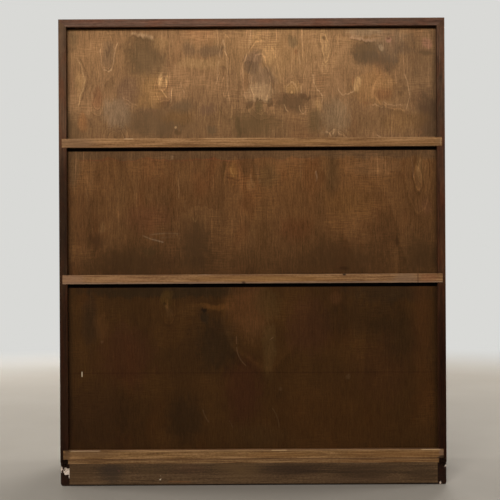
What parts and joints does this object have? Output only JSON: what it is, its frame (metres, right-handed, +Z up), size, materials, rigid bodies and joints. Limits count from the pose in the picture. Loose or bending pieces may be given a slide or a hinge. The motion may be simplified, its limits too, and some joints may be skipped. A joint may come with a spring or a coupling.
{
  "type": "display cabinet",
  "caption": "Free-standing glazed display cabinet in dark stained wood, with tiers behind sliding plate glass doors, an inset plinth and plywood backs.",
  "frame": {"origin": "on the floor, under the middle of the case's footprint", "axes": "+Z up, the glass doors face -Y, the plywood back faces +Y, +X is the right side for someone facing the doors"},
  "size_m": [0.89, 0.3, 1.075],
  "materials": {
    "case_veneer": "stained and waxed",
    "shelf_wood": "stained, worn",
    "lipping_wood": "stained and waxed",
    "ply_upper": "stained plywood, matt",
    "ply_middle": "stained plywood, matt",
    "ply_lower": "stained plywood, matt",
    "fillet_wood": "stained, worn",
    "plinth_wood": "stained, scuffed",
    "bare_softwood": "bare, planed",
    "screw_steel": "dull",
    "track_plastic": "extruded, satin",
    "door_glass": "polished plate"
  },
  "bodies": {
    "case": {"side_panel_left": "case_veneer", "side_panel_right": "case_veneer", "top_panel": "case_veneer", "upper_shelf": "shelf_wood", "lower_shelf": "shelf_wood", "bottom_board": "shelf_wood", "lipping_side_left": "lipping_wood", "lipping_side_right": "lipping_wood", "lipping_top": "lipping_wood", "lipping_upper_shelf": "lipping_wood", "lipping_lower_shelf": "lipping_wood", "lipping_bottom": "lipping_wood", "back_panel_upper": "ply_upper", "back_panel_middle": "ply_middle", "back_panel_lower": "ply_lower", "base_fillet_rear": "fillet_wood", "base_fillet_front": "fillet_wood", "plinth_rear_rail": "plinth_wood", "plinth_front_rail": "plinth_wood", "plinth_side_left": "plinth_wood", "plinth_side_right": "plinth_wood", "plinth_corner_blocks": "bare_softwood", "plinth_screws": "screw_steel", "mitre_tongue_left": "bare_softwood", "mitre_tongue_right": "bare_softwood", "track_top_lower": "track_plastic", "track_bottom_lower": "track_plastic", "track_top_middle": "track_plastic", "track_bottom_middle": "track_plastic", "track_top_upper": "track_plastic", "track_bottom_upper": "track_plastic"},
    "lower_left_door": {"glass_door_lower_left": "door_glass"},
    "lower_right_door": {"glass_door_lower_right": "door_glass"},
    "middle_left_door": {"glass_door_middle_left": "door_glass"},
    "middle_right_door": {"glass_door_middle_right": "door_glass"},
    "upper_left_door": {"glass_door_upper_left": "door_glass"},
    "upper_right_door": {"glass_door_upper_right": "door_glass"}
  },
  "joints": [
    {"name": "lower_left_slide", "type": "slide", "parent": "case", "child": "lower_left_door", "axis": [1, 0, 0], "range_m": [0, 0.414]},
    {"name": "lower_right_slide", "type": "slide", "parent": "case", "child": "lower_right_door", "axis": [1, 0, 0], "range_m": [-0.414, 0]},
    {"name": "middle_left_slide", "type": "slide", "parent": "case", "child": "middle_left_door", "axis": [1, 0, 0], "range_m": [0, 0.414]},
    {"name": "middle_right_slide", "type": "slide", "parent": "case", "child": "middle_right_door", "axis": [1, 0, 0], "range_m": [-0.414, 0]},
    {"name": "upper_left_slide", "type": "slide", "parent": "case", "child": "upper_left_door", "axis": [1, 0, 0], "range_m": [0, 0.414]},
    {"name": "upper_right_slide", "type": "slide", "parent": "case", "child": "upper_right_door", "axis": [1, 0, 0], "range_m": [-0.414, 0]}
  ]
}
